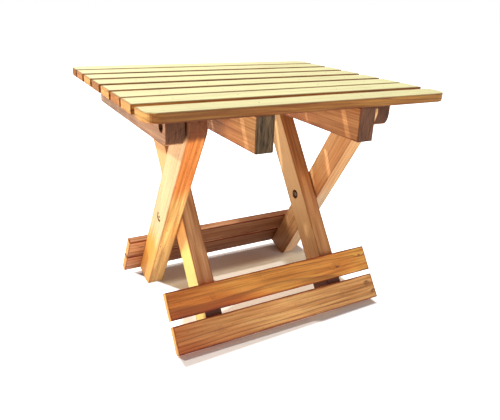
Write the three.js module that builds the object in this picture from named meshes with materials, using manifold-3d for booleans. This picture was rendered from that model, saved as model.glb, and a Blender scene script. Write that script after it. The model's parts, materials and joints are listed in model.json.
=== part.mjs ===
// Folding stool in planed pine: a slatted seat on two crossed pairs of legs.
// Millimetres, +Z up, +X to the sitter's right, the front edge of the seat towards -Y.
// The origin is on the floor, under the middle of the seat. The stool is modelled open.
import * as THREE from "three";
import { mergeVertices } from "three/addons/utils/BufferGeometryUtils.js";
import Module from "manifold-3d";

const wasm = await Module();
wasm.setup();

// Seat
const seatWidth = 400;
const seatHeight = 315;
const lathThickness = 10.8;
const slatWidth = 34.5;
const slatGap = 8;
const slatGapShares = [1.69, 0.58, 1.08, 1.35, 1.15, 1.2, 0.75];
const frontCornerRadius = 18;
const rearCornerRadius = 14;

// Battens under the slats
const battenThickness = 23;
const battenHeight = 41;
const battenSpan = 320;
const battenSetback = 1;
const noseDepth = 10;
const noseHeight = 18;
const innerBattenGap = 5.5;

// Legs and how they lean, in degrees from upright
const legWidth = 40;
const legThickness = 23;
const outerLean = 31;
const innerLean = 36;
const crossingHeight = 136.8;
const pivotSetback = 73.5;
const pivotEndMargin = 15;
const heelCutLength = 29;
const heelCutHeight = 11.5;
const toeCut = 2.5;

// Boards that tie each pair of legs
const boardWidth = 36;
const frontBoardGap = 7;
const rearBoardGap = 4;
const frontBoardLift = 0.6;
const rearBoardLift = 8;

// Pivot bolts, nuts and washers
const boltRadius = 3;
const boltHeadRadius = 6;
const boltHeadHeight = 4;
const boltDomeHeight = 1.2;
const socketRadius = 2.3;
const socketDepth = 2.2;
const nutRadius = 5.8;
const nutThickness = 5;
const washerRadius = 8;
const recessRadius = 7;
const deepRecess = 9;
const shallowRecess = 5;
const boltEndMargin = 1;

// Stop dowels that the forked legs hook on
const dowelRadius = 6;
const dowelEmbed = 14;
const forkMouthWidth = 19;

// Screws and wooden plugs in the boards
const screwRadius = 2;
const screwHeadRadius = 3.8;
const screwHeadHeight = 2.2;
const screwBite = 22;
const screwTipLength = 5;
const plugRadius = 4.8;
const plugDepth = 3.4;
const plugClearance = 0.1;
const screwRimShare = 0.33;

// Clearances, and the overrun of every cut
const arris = 0.8;
const seatingGap = 0.25;
const holeClearance = 0.3;
const dowelPlay = 0.5;
const lateralGap = 2;
const overrun = 2;
const roundSides = 28;
const smallSides = 16;
const hexSides = 6;
const weldShare = 0.001;
const arcSteps = 6;
const arrisSteps = 1;

const halfLeg = legWidth / 2;
const battenTop = seatHeight - lathThickness - seatingGap;
const pivotHeight = battenTop - battenHeight / 2;
const outerTilt = THREE.MathUtils.degToRad(outerLean);
const innerTilt = THREE.MathUtils.degToRad(innerLean);
const pivotRise = pivotHeight - crossingHeight;
const outerArm = pivotRise / Math.cos(outerTilt);
const innerArm = pivotRise / Math.cos(innerTilt);

const slatGaps = slatGapShares.map((share) => share * slatGap);
const slatCount = slatGapShares.length + 1;
const seatDepth = slatCount * slatWidth + slatGaps.reduce((sum, gap) => sum + gap, 0);
const seatFront = -seatDepth / 2;
const seatRear = seatDepth / 2;
const pivotPlace = seatFront + pivotSetback;
const crossingPlace = pivotPlace + pivotRise * Math.tan(outerTilt);
const stopPlace = crossingPlace + pivotRise * Math.tan(innerTilt);

// Across the stool, from the outside to the middle: batten, outer leg, inner leg, batten
const outerBattenFace = battenSpan / 2;
const outerLegFace = outerBattenFace - battenThickness - lateralGap;
const innerLegFace = outerLegFace - legThickness - lateralGap;
const innerBattenFace = innerLegFace - legThickness - innerBattenGap;

const sides = [
  { name: "left", sign: -1 },
  { name: "right", sign: 1 },
];

function wood(color) {
  return new THREE.MeshStandardMaterial({ color, roughness: 0.62, metalness: 0 });
}

function metal(color) {
  return new THREE.MeshStandardMaterial({ color, roughness: 0.35, metalness: 0.9 });
}

const finish = {
  slat: () => wood(0xf0dc9a),
  batten: () => wood(0xb98560),
  leg: () => wood(0xe0a45c),
  board: () => wood(0xb8702c),
  dowel: () => wood(0xd9b27a),
  plug: () => wood(0xc88c4c),
  steel: () => metal(0x8d8a86),
};

function solidFrom(geometry) {
  const bare = geometry.clone();
  bare.deleteAttribute("normal");
  bare.deleteAttribute("uv");
  const merged = mergeVertices(bare, arris * weldShare);
  return new wasm.Manifold(
    new wasm.Mesh({
      numProp: 3,
      vertProperties: merged.attributes.position.array,
      triVerts: new Uint32Array(merged.index.array),
    }),
  );
}

function cut(geometry, cutters) {
  let solid = solidFrom(geometry);
  for (const cutter of cutters) {
    solid = solid.subtract(solidFrom(cutter));
  }
  const mesh = solid.getMesh();
  const result = new THREE.BufferGeometry();
  result.setAttribute("position", new THREE.BufferAttribute(mesh.vertProperties, 3));
  result.setIndex(new THREE.BufferAttribute(mesh.triVerts, 1));
  const faceted = result.toNonIndexed();
  faceted.computeVertexNormals();
  return faceted;
}

function part(name, geometry, material) {
  const mesh = new THREE.Mesh(geometry, material);
  mesh.name = name;
  return mesh;
}

// A plank with the given outline and softened edges, from z = 0 upwards.
function plank(outline, thickness) {
  return new THREE.ExtrudeGeometry(outline, {
    depth: thickness - 2 * arris,
    bevelThickness: arris,
    bevelSize: arris,
    bevelOffset: -arris,
    bevelSegments: arrisSteps,
    curveSegments: arcSteps,
  }).translate(0, 0, arris);
}

// The same plank set on edge: its outline is drawn in Y and Z, and its thickness lies along X.
function uprightPlank(outline, thickness, middle) {
  const turn = new THREE.Matrix4().makeBasis(
    new THREE.Vector3(0, 1, 0),
    new THREE.Vector3(0, 0, 1),
    new THREE.Vector3(1, 0, 0),
  );
  return plank(outline, thickness)
    .applyMatrix4(turn)
    .translate(middle - thickness / 2, 0, 0);
}

// A round cutter along X between two places.
function borer(radius, from, to, y, z, facets) {
  const length = Math.abs(to - from);
  return new THREE.CylinderGeometry(radius, radius, length, facets)
    .rotateZ(-Math.PI / 2)
    .translate((from + to) / 2, y, z);
}

// A turned piece whose profile of [radius, distance] pairs runs along X, away from the middle.
function turned(profile, sign, facets) {
  const points = profile.map(([radius, distance]) => new THREE.Vector2(radius, distance));
  return new THREE.LatheGeometry(points, facets).rotateZ((-sign * Math.PI) / 2);
}

// Seat slats, the first at the front
function slatOutline(frontRadius, rearRadius) {
  const half = seatWidth / 2;
  const shape = new THREE.Shape();
  shape.moveTo(-half + frontRadius, 0);
  shape.lineTo(half - frontRadius, 0);
  if (frontRadius > 0) {
    shape.absarc(half - frontRadius, frontRadius, frontRadius, -Math.PI / 2, 0, false);
  }
  shape.lineTo(half, slatWidth - rearRadius);
  if (rearRadius > 0) {
    shape.absarc(half - rearRadius, slatWidth - rearRadius, rearRadius, 0, Math.PI / 2, false);
  }
  shape.lineTo(-half + rearRadius, slatWidth);
  if (rearRadius > 0) {
    shape.absarc(-half + rearRadius, slatWidth - rearRadius, rearRadius, Math.PI / 2, Math.PI, false);
  }
  shape.lineTo(-half, frontRadius);
  if (frontRadius > 0) {
    shape.absarc(-half + frontRadius, frontRadius, frontRadius, Math.PI, 1.5 * Math.PI, false);
  }
  return shape;
}

function slats() {
  const group = new THREE.Group();
  let front = seatFront;
  for (let n = 0; n < slatCount; n += 1) {
    const frontRadius = n === 0 ? frontCornerRadius : 0;
    const rearRadius = n === slatCount - 1 ? rearCornerRadius : 0;
    const outline = slatOutline(frontRadius, rearRadius);
    const slat = part(`slat_${n + 1}`, plank(outline, lathThickness), finish.slat());
    slat.position.set(0, front, seatHeight - lathThickness);
    group.add(slat);
    front += slatWidth + (slatGaps[n] ?? 0);
  }
  return group;
}

// Battens: the outer pair has a rounded nose and the pivot holes, both pairs carry the stop dowels
function battenOutline(front, noseLength, noseRise) {
  const bottom = battenTop - battenHeight;
  const rear = seatRear - battenSetback;
  const shape = new THREE.Shape();
  shape.moveTo(rear, bottom);
  shape.lineTo(rear, battenTop);
  shape.lineTo(front, battenTop);
  if (noseLength > 0) {
    shape.lineTo(front, bottom + noseRise);
    shape.absellipse(
      front + noseLength, bottom + noseRise, noseLength, noseRise, Math.PI, 1.5 * Math.PI, false, 0,
    );
  } else {
    shape.lineTo(front, bottom);
  }
  return shape;
}

function outerBatten(side) {
  const face = side.sign * outerBattenFace;
  const inner = face - side.sign * battenThickness;
  const outline = battenOutline(pivotPlace - pivotEndMargin, noseDepth, noseHeight);
  const blank = uprightPlank(outline, battenThickness, (face + inner) / 2);
  const past = side.sign * overrun;
  const body = cut(blank, [
    borer(recessRadius, face + past, face - side.sign * deepRecess, pivotPlace, pivotHeight, roundSides),
    borer(boltRadius + holeClearance, face + past, inner - past, pivotPlace, pivotHeight, smallSides),
    borer(
      dowelRadius + holeClearance,
      inner - past,
      inner + side.sign * (dowelEmbed + holeClearance),
      stopPlace,
      pivotHeight,
      roundSides,
    ),
  ]);
  return part(`outer_batten_${side.name}`, body, finish.batten());
}

function innerBatten(side) {
  const face = side.sign * innerBattenFace;
  const outline = battenOutline(seatFront + battenSetback, 0, 0);
  const middle = face - (side.sign * battenThickness) / 2;
  const body = cut(uprightPlank(outline, battenThickness, middle), [
    borer(
      dowelRadius + holeClearance,
      face + side.sign * overrun,
      face - side.sign * (dowelEmbed + holeClearance),
      stopPlace,
      pivotHeight,
      roundSides,
    ),
  ]);
  return part(`inner_batten_${side.name}`, body, finish.batten());
}

// A dowel between an outer and an inner batten, which the forked end of the inner leg hooks on.
function stopDowel(side) {
  const outerEnd = outerBattenFace - battenThickness + dowelEmbed;
  const innerEnd = innerBattenFace - dowelEmbed;
  const length = outerEnd - innerEnd;
  const profile = [
    [0, 0],
    [dowelRadius - arris, 0],
    [dowelRadius, arris],
    [dowelRadius, length - arris],
    [dowelRadius - arris, length],
    [0, length],
  ];
  const dowel = part(`stop_dowel_${side.name}`, turned(profile, side.sign, roundSides), finish.dowel());
  dowel.position.set(side.sign * innerEnd, stopPlace, pivotHeight);
  return dowel;
}

// Legs, drawn with the crossing at zero and their length along Z; -Y is the front face
function floorLine(y, tilt) {
  return -(crossingHeight + y * Math.sin(tilt)) / Math.cos(tilt);
}

function outerLegOutline() {
  const shape = new THREE.Shape();
  const heel = halfLeg - heelCutLength;
  const toe = toeCut - halfLeg;
  shape.moveTo(toe, floorLine(toe, outerTilt));
  shape.lineTo(-halfLeg, floorLine(-halfLeg, outerTilt) + toeCut);
  shape.lineTo(-halfLeg, outerArm);
  shape.absarc(0, outerArm, halfLeg, Math.PI, 0, true);
  shape.lineTo(halfLeg, floorLine(halfLeg, outerTilt) + heelCutHeight);
  shape.lineTo(heel, floorLine(heel, outerTilt));
  return shape;
}

function innerLegOutline() {
  const shape = new THREE.Shape();
  const slot = dowelRadius + dowelPlay;
  const mouth = forkMouthWidth / 2;
  const tip = Math.acos(mouth / halfLeg);
  shape.moveTo(-halfLeg, floorLine(-halfLeg, -innerTilt));
  shape.lineTo(-halfLeg, innerArm);
  shape.absarc(0, innerArm, halfLeg, Math.PI, Math.PI - tip, true);
  shape.lineTo(-slot, innerArm);
  shape.absarc(0, innerArm, slot, Math.PI, 2 * Math.PI, false);
  shape.lineTo(mouth, innerArm + halfLeg * Math.sin(tip));
  shape.absarc(0, innerArm, halfLeg, tip, 0, true);
  shape.lineTo(halfLeg, floorLine(halfLeg, -innerTilt));
  return shape;
}

// Pilot holes for the board screws, bored into a leg from its front (-1) or rear (+1) face.
function pilotHoles(middle, facing, heights) {
  const depth = screwBite + holeClearance;
  const radius = screwRadius + holeClearance;
  const place = facing * (halfLeg - (depth - overrun) / 2);
  return heights.map((z) =>
    new THREE.CylinderGeometry(radius, radius, depth + overrun, smallSides).translate(middle, place, z),
  );
}

function outerLeg(side, screwHeights) {
  const face = side.sign * outerLegFace;
  const inner = face - side.sign * legThickness;
  const middle = (face + inner) / 2;
  const past = side.sign * overrun;
  const bore = boltRadius + holeClearance;
  const body = cut(uprightPlank(outerLegOutline(), legThickness, middle), [
    borer(bore, face + past, inner - past, 0, 0, smallSides),
    borer(recessRadius, face + past, face - side.sign * shallowRecess, 0, 0, roundSides),
    borer(bore, face + past, inner - past, 0, outerArm, smallSides),
    borer(recessRadius, inner - past, inner + side.sign * deepRecess, 0, outerArm, roundSides),
    ...pilotHoles(middle, 1, screwHeights),
  ]);
  return part(`outer_leg_${side.name}`, body, finish.leg());
}

function innerLeg(side, screwHeights) {
  const face = side.sign * innerLegFace;
  const inner = face - side.sign * legThickness;
  const middle = (face + inner) / 2;
  const past = side.sign * overrun;
  const body = cut(uprightPlank(innerLegOutline(), legThickness, middle), [
    borer(boltRadius + holeClearance, face + past, inner - past, 0, 0, smallSides),
    borer(recessRadius, inner - past, inner + side.sign * deepRecess, 0, 0, roundSides),
    ...pilotHoles(middle, -1, screwHeights),
  ]);
  return part(`inner_leg_${side.name}`, body, finish.leg());
}

// Boards across a pair of legs. A board lies flat on the legs' front (-1) or rear (+1) faces.
function boardOutline() {
  const half = battenSpan / 2;
  const shape = new THREE.Shape();
  shape.moveTo(-half, -boardWidth / 2);
  shape.lineTo(half, -boardWidth / 2);
  shape.lineTo(half, boardWidth / 2);
  shape.lineTo(-half, boardWidth / 2);
  return shape;
}

function board(name, facing, height, screwPlaces) {
  const step = plugDepth + screwHeadHeight + seatingGap;
  const wide = plugRadius + plugClearance;
  const narrow = screwRadius + holeClearance;
  const cutters = screwPlaces.flatMap((x) => [
    new THREE.CylinderGeometry(wide, wide, step + overrun, roundSides)
      .rotateX(Math.PI / 2)
      .translate(x, 0, lathThickness - (step - overrun) / 2),
    new THREE.CylinderGeometry(narrow, narrow, lathThickness + 2 * overrun, smallSides)
      .rotateX(Math.PI / 2)
      .translate(x, 0, lathThickness / 2),
  ]);
  const body = cut(plank(boardOutline(), lathThickness), cutters);
  const mesh = part(name, body, finish.board());
  mesh.rotation.x = (-facing * Math.PI) / 2;
  mesh.position.set(0, facing * (halfLeg + seatingGap), height);
  return mesh;
}

// A turned piece set into a board, its axis square to the board's face.
function setIntoBoard(mesh, facing, x, height, depth) {
  mesh.rotation.x = facing > 0 ? Math.PI : 0;
  mesh.position.set(x, facing * (halfLeg + seatingGap + lathThickness - depth), height);
  return mesh;
}

function boardScrew(name) {
  const length = lathThickness - plugDepth + screwBite - screwTipLength;
  const profile = [
    [0, 0],
    [screwHeadRadius, 0],
    [screwHeadRadius, screwHeadHeight * screwRimShare],
    [screwRadius, screwHeadHeight],
    [screwRadius, length - screwTipLength],
    [0, length],
  ];
  return turnedFastener(name, profile, finish.steel(), smallSides);
}

function boardPlug(name) {
  const profile = [
    [0, 0],
    [plugRadius, 0],
    [plugRadius, plugDepth - seatingGap],
    [0, plugDepth - seatingGap],
  ];
  return turnedFastener(name, profile, finish.plug(), roundSides);
}

function turnedFastener(name, profile, material, facets) {
  const points = profile.map(([radius, distance]) => new THREE.Vector2(radius, distance));
  return part(name, new THREE.LatheGeometry(points, facets), material);
}

// How far along the legs the lower board's middle lies, for a given height of its edge over the floor.
function boardRow(lift, tilt) {
  const edge = (lift - crossingHeight - halfLeg * Math.sin(tilt)) / Math.cos(tilt);
  return edge + boardWidth / 2;
}

// Two boards on one pair of legs, with their screws and plugs
function boardPair(label, facing, heights, legMiddle) {
  const group = new THREE.Group();
  const places = sides.map((side) => side.sign * legMiddle);
  ["lower", "upper"].forEach((row, n) => {
    group.add(board(`${label}_board_${row}`, facing, heights[n], places));
    sides.forEach((side, k) => {
      const screw = boardScrew(`${label}_screw_${row}_${side.name}`);
      const plug = boardPlug(`${label}_plug_${row}_${side.name}`);
      group.add(setIntoBoard(screw, facing, places[k], heights[n], plugDepth));
      group.add(setIntoBoard(plug, facing, places[k], heights[n], 0));
    });
  });
  return group;
}

// Pivot hardware, set along X from the head's face inwards
function pivotBolt(name, side, length) {
  const profile = [
    [0, 0],
    [boltRadius, 0],
    [boltRadius, length],
    [boltHeadRadius, length],
    [boltHeadRadius, length + boltHeadHeight - boltDomeHeight],
    [boltHeadRadius - boltDomeHeight, length + boltHeadHeight],
    [0, length + boltHeadHeight],
  ];
  const top = length + boltHeadHeight;
  const mouth = side.sign * (top + overrun);
  const floor = side.sign * (top - socketDepth);
  const socket = borer(socketRadius, mouth, floor, 0, 0, hexSides);
  return part(name, cut(turned(profile, side.sign, roundSides), [socket]), finish.steel());
}

function ring(name, outerRadius, thickness, facets) {
  const shape = new THREE.Shape();
  shape.absarc(0, 0, outerRadius, 0, 2 * Math.PI, false);
  const hole = new THREE.Path();
  hole.absarc(0, 0, boltRadius + holeClearance, 0, 2 * Math.PI, true);
  shape.holes.push(hole);
  const geometry = new THREE.ExtrudeGeometry(shape, {
    depth: thickness,
    bevelEnabled: false,
    curveSegments: facets,
  });
  return part(name, geometry.translate(0, 0, -thickness / 2).rotateY(Math.PI / 2), finish.steel());
}

// A hexagonal nut with a round hole through it
function nut(name) {
  const shape = new THREE.Shape();
  for (let n = 0; n < hexSides; n += 1) {
    const angle = (n * 2 * Math.PI) / hexSides;
    const x = nutRadius * Math.cos(angle);
    const y = nutRadius * Math.sin(angle);
    if (n === 0) {
      shape.moveTo(x, y);
    } else {
      shape.lineTo(x, y);
    }
  }
  const hole = new THREE.Path();
  hole.absarc(0, 0, boltRadius + holeClearance, 0, 2 * Math.PI, true);
  shape.holes.push(hole);
  const geometry = new THREE.ExtrudeGeometry(shape, {
    depth: nutThickness,
    bevelEnabled: false,
    curveSegments: smallSides,
  });
  return part(name, geometry.translate(0, 0, -nutThickness / 2).rotateY(Math.PI / 2), finish.steel());
}

// A bolt through two neighbours: its head sits in the outer recess, its nut in the inner one.
function pivotSet(label, side, outerFace, innerFace, headRecess, gapMiddle) {
  const group = new THREE.Group();
  const headSeat = outerFace - headRecess + seatingGap;
  const tip = innerFace + boltEndMargin;
  const bolt = pivotBolt(`${label}_bolt_${side.name}`, side, headSeat - tip);
  bolt.position.x = side.sign * tip;
  const washer = ring(
    `${label}_washer_${side.name}`, washerRadius, lateralGap - 2 * seatingGap, smallSides,
  );
  washer.position.x = side.sign * gapMiddle;
  const nutSeat = innerFace + deepRecess - seatingGap - nutThickness / 2;
  const fastener = nut(`${label}_nut_${side.name}`);
  fastener.position.x = side.sign * nutSeat;
  group.add(bolt, washer, fastener);
  return group;
}

function seatGroup() {
  const group = new THREE.Group();
  group.add(slats());
  for (const side of sides) {
    group.add(outerBatten(side), innerBatten(side), stopDowel(side));
  }
  return group;
}

// The outer legs lean forwards as they rise, and carry the seat at their tops.
function outerFrame() {
  const group = new THREE.Group();
  const lower = boardRow(rearBoardLift, outerTilt);
  const heights = [lower, lower + boardWidth + rearBoardGap];
  const legMiddle = outerLegFace - legThickness / 2;
  group.add(boardPair("rear", 1, heights, legMiddle));
  for (const side of sides) {
    group.add(outerLeg(side, heights));
    const legInner = outerLegFace - legThickness;
    const crossing = pivotSet(
      "leg", side, outerLegFace, innerLegFace - legThickness, shallowRecess, legInner - lateralGap / 2,
    );
    const seatPivot = pivotSet(
      "seat", side, outerBattenFace, legInner, deepRecess, outerLegFace + lateralGap / 2,
    );
    seatPivot.position.z = outerArm;
    group.add(crossing, seatPivot);
  }
  group.position.set(0, crossingPlace, crossingHeight);
  group.rotation.x = outerTilt;
  return group;
}

// The inner legs lean backwards as they rise, and hook on the stop dowels.
function innerFrame() {
  const group = new THREE.Group();
  const lower = boardRow(frontBoardLift, innerTilt);
  const heights = [lower, lower + boardWidth + frontBoardGap];
  const legMiddle = innerLegFace - legThickness / 2;
  group.add(boardPair("front", -1, heights, legMiddle));
  for (const side of sides) {
    group.add(innerLeg(side, heights));
  }
  group.position.set(0, crossingPlace, crossingHeight);
  group.rotation.x = -innerTilt;
  return group;
}

const stool = new THREE.Group();
stool.add(seatGroup(), outerFrame(), innerFrame());

export default stool;
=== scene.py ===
import json
import math
from functools import partial

import bpy
from bpy.props import FloatProperty, FloatVectorProperty, IntProperty, PointerProperty
from mathutils import Matrix, Vector


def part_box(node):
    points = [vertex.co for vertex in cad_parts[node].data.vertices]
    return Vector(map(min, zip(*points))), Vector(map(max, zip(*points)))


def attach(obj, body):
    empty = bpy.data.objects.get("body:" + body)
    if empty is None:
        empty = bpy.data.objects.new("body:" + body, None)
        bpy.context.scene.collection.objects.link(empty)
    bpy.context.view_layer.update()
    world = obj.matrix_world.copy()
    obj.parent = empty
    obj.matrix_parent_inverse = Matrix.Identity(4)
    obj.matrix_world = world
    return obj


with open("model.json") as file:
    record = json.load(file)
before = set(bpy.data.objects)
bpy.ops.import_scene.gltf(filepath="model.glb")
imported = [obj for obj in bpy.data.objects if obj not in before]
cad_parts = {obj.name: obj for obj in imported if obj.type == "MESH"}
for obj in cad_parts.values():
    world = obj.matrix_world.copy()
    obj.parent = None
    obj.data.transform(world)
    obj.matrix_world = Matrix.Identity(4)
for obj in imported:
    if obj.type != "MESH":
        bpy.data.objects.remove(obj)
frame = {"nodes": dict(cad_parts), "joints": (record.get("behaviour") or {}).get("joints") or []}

bl_info = {
    "name": "Slatted Folding Stool",
    "version": (1, 0, 0),
    "blender": (4, 5, 0),
    "location": "View3D > Sidebar > Stool",
    "description": "Dresses a folding stool in planed, oiled softwood and sets it on a pale floor",
    "category": "Object",
}

JOINTS = {joint["name"]: joint for joint in frame["joints"]}
SIDES = ("left", "right")
LEFT = Vector((-1, 0, 0))
MM = 0.001
# In millimetres, past the end of every plank
FAR = 1000
# Half the length, width and thickness of a leg and of a board. A leg is taken as endless, so that only its
# long edges are dirty
LEG_HALF = (FAR, 20, 11.5)
BOARD_HALF = (160, 18, 5.4)

# What the wood's colour is multiplied by in a pale streak, in a dark one, in resin and its painted shade, and
# under dirt
PALE_STREAK = (1.25, 1.36, 1.47)
DARK_STREAK = (0.55, 0.40, 0.28, 1)
RESIN_AND_SHADE = (0.95, 0.5, 0.32, 1)
DIRT = (0.40, 0.17, 0.07, 1)
# A noise seldom leaves this range
SWING = {"From Min": 0.3, "From Max": 0.7}


def linear(colour):
    """An sRGB hex colour as linear red, green and blue."""
    parts = [int(colour[place:place + 2], 16) / 255 for place in (1, 3, 5)]
    return tuple(c / 12.92 if c <= 0.04045 else ((c + 0.055) / 1.055) ** 2.4 for c in parts)


def add_node(tree, kind, inputs=None, **settings):
    """Adds a node. An input is a value, or the socket that feeds it."""
    made = tree.nodes.new(kind)
    for name, value in settings.items():
        setattr(made, name, value)
    for name, value in (inputs or {}).items():
        if isinstance(value, bpy.types.NodeSocket):
            tree.links.new(value, made.inputs[name])
        else:
            made.inputs[name].default_value = value
    return made


def bare_material(name):
    """A new material and its node tree, with nothing in it."""
    material = bpy.data.materials.new(name)
    material.use_nodes = True
    material.node_tree.nodes.clear()
    return material, material.node_tree


def seen_straight(tree):
    """1 where the camera, a mirror or glass looks, and 0 for the rays that carry light to the stool."""
    path = add_node(tree, "ShaderNodeLightPath").outputs
    seen = add_node(
        tree, "ShaderNodeMath", {0: path["Is Camera Ray"], 1: path["Is Glossy Ray"]}, operation="MAXIMUM"
    )
    return add_node(
        tree, "ShaderNodeMath", {0: seen.outputs[0], 1: path["Is Transmission Ray"]}, operation="MAXIMUM"
    ).outputs[0]


# Settings


def colour_setting(name, description, colour):
    return FloatVectorProperty(
        name=name, description=description, subtype="COLOR", size=3, min=0, max=1, default=linear(colour)
    )


def length_setting(name, description, size, least, most):
    """A length whose default and limits are given in millimetres."""
    return FloatProperty(
        name=name, description=description, default=size * MM, min=least * MM, max=most * MM,
        precision=5, subtype="DISTANCE", unit="LENGTH",
    )


def power_setting(name, description, power):
    return FloatProperty(name=name, description=description, default=power, min=0, unit="POWER")


def turn_setting(name, description, turn):
    return FloatProperty(name=name, description=description, default=turn, subtype="ANGLE")


class StoolWoodSettings(bpy.types.PropertyGroup):
    ring_spacing: length_setting("Ring spacing", "Distance between two year rings", 5.2, 1, 20)
    fibre_spacing: length_setting("Fibre spacing", "Width of the streaks along the grain", 3.0, 0.2, 5)
    waviness: length_setting("Waviness", "How far the year rings wander sideways", 9, 0, 40)
    slat_light: colour_setting("Slat, earlywood", "Pale wood of the slats", "#AA7433")
    slat_dark: colour_setting("Slat, latewood", "Ring lines of the slats", "#74441E")
    # The colour of paled faces: partly sun-bleaching, and partly painted light where the lamps fall on them
    bleached: colour_setting("Bleached", "Slat faces that the sun has paled", "#F7F5B8")
    leg_light: colour_setting("Leg, earlywood", "Pale wood of the legs", "#EBB463")
    leg_dark: colour_setting("Leg, latewood", "Ring lines of the legs", "#B86A28")
    batten_light: colour_setting("Batten, earlywood", "Pale wood of the battens", "#D79C68")
    batten_dark: colour_setting("Batten, latewood", "Ring lines of the battens", "#8E532C")
    board_light: colour_setting("Board, earlywood", "Pale wood of the boards", "#D58C3C")
    board_dark: colour_setting("Board, latewood", "Ring lines of the boards", "#6E3612")
    end_grain: colour_setting("End grain", "Sawn ends of the slats and boards", "#C7955E")
    brown_end: colour_setting("Brown end", "Sawn ends of the battens and legs", "#6F4B38")
    weathered_end: colour_setting("Weathered end", "Rough end of the batten that has greyed", "#614E39")
    # The orange that the left face of the outer left leg turns towards its foot
    oil: colour_setting("Oil", "Left face of a leg where oil has soaked in", "#FFB04A")
    # Also the colour of most of the stains, which are mostly painted shade
    knot: colour_setting("Knot", "Heart of a knot, and the brown of most stains", "#582C16")
    roughness: FloatProperty(
        name="Roughness", description="Oiled and worn, between satin and matt", default=0.55,
        min=0, max=1, subtype="FACTOR",
    )


class StoolSteelSettings(bpy.types.PropertyGroup):
    # The zinc is drawn dark brown: partly dulled plating, and partly painted shade of the recesses that the
    # heads sit in
    zinc: colour_setting("Zinc", "Dulled zinc plating", "#5E4A3B")
    # Painted highlight: a paler copy of the zinc for the head of the left leg bolt, as if sunlight fell on it
    rubbed: colour_setting("Rubbed zinc", "Head of the left leg bolt, rubbed bright by hands", "#D2BE8C")
    pin: colour_setting("Pin", "Heads of the slat pins, yellowed by the oil on the wood", "#C2A870")
    roughness: FloatProperty(
        name="Roughness", description="Dulled plating", default=0.42, min=0, max=1, subtype="FACTOR"
    )


class StoolPinSettings(bpy.types.PropertyGroup):
    head_radius: length_setting("Head radius", "Radius of a pin's head", 1.1, 0.5, 4)
    head_height: length_setting("Head height", "How far a head stands proud", 0.12, 0.05, 1)
    seed: IntProperty(name="Seed", description="Seed of the heads' turns and sizes", default=7, min=0)


class StoolStageSettings(bpy.types.PropertyGroup):
    floor: colour_setting("Floor", "Pale floor", "#F4F2EF")
    # The glow of the sunny strip is painted light: only the camera and reflections see it, and it lights
    # nothing
    floor_glow: FloatProperty(
        name="Floor glow", description="How brightly the camera sees the sunny strip of floor", default=0.24,
        min=0, max=5,
    )
    sky: FloatProperty(
        name="Sky", description="Strength of the light from all round", default=0.22, min=0, max=5
    )
    key: power_setting("Key lamp", "Lamp from the rear left", 61)
    fill: power_setting("Fill lamp", "Weak lamp from the front", 22)
    rear: power_setting("Rear lamp", "Soft lamp from behind", 60)
    bounce: power_setting("Bounce lamp", "Warm light that the sunny floor throws up", 3)
    camera_place: FloatVectorProperty(
        name="Camera place", description="Where the camera stands", default=(-0.34716, -0.62562, 0.41836),
        size=3, subtype="TRANSLATION", unit="LENGTH",
    )
    heading: turn_setting("Heading", "Camera's turn about the vertical", -0.52089)
    tilt: turn_setting("Tilt", "Camera's angle over the horizon", -0.39268)
    roll: turn_setting("Roll", "Camera's turn about its own axis", -0.0424)
    lens: FloatProperty(
        name="Lens", description="Focal length in millimetres", default=37.0845, min=1, max=300, unit="CAMERA"
    )


# Softwood


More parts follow.
